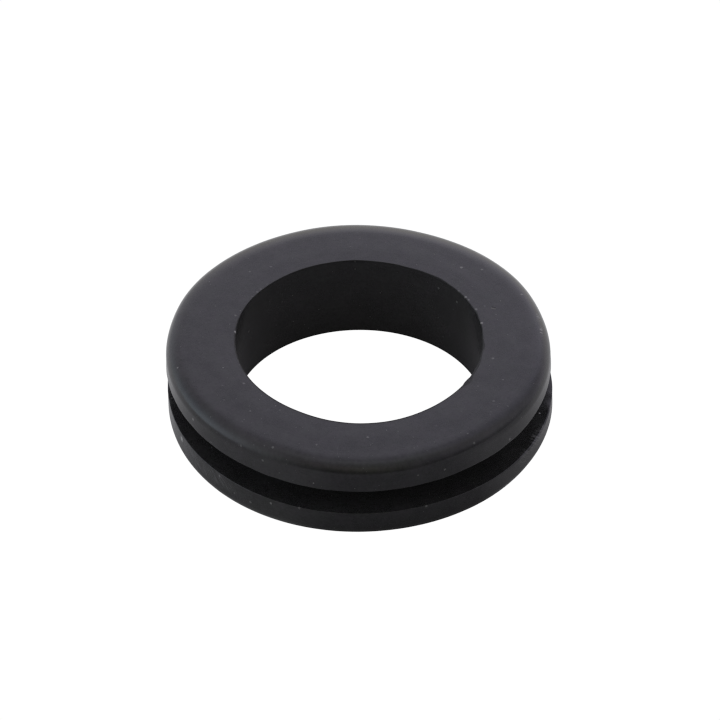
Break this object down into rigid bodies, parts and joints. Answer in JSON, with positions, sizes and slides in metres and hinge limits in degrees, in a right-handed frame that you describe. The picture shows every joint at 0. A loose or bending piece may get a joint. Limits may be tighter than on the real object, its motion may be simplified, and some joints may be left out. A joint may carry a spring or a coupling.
{
  "type": "rubber grommet",
  "caption": "Round black rubber grommet: equal top and bottom flanges, a narrow groove between them that grips a panel's hole edge, and a straight bore that protects a cable.",
  "frame": {"origin": "centre of the lower flange's flat face, which it rests on", "axes": "+Z along the bore's axis, up through both flanges; X and Y are alike, because the part is round"},
  "size_m": [0.0305, 0.0304, 0.0074],
  "materials": {
    "black_rubber": "moulded black rubber, smooth with a dull sheen, and a little pale dust"
  },
  "bodies": {
    "root": {"grommet_body": "black_rubber"}
  },
  "joints": []
}
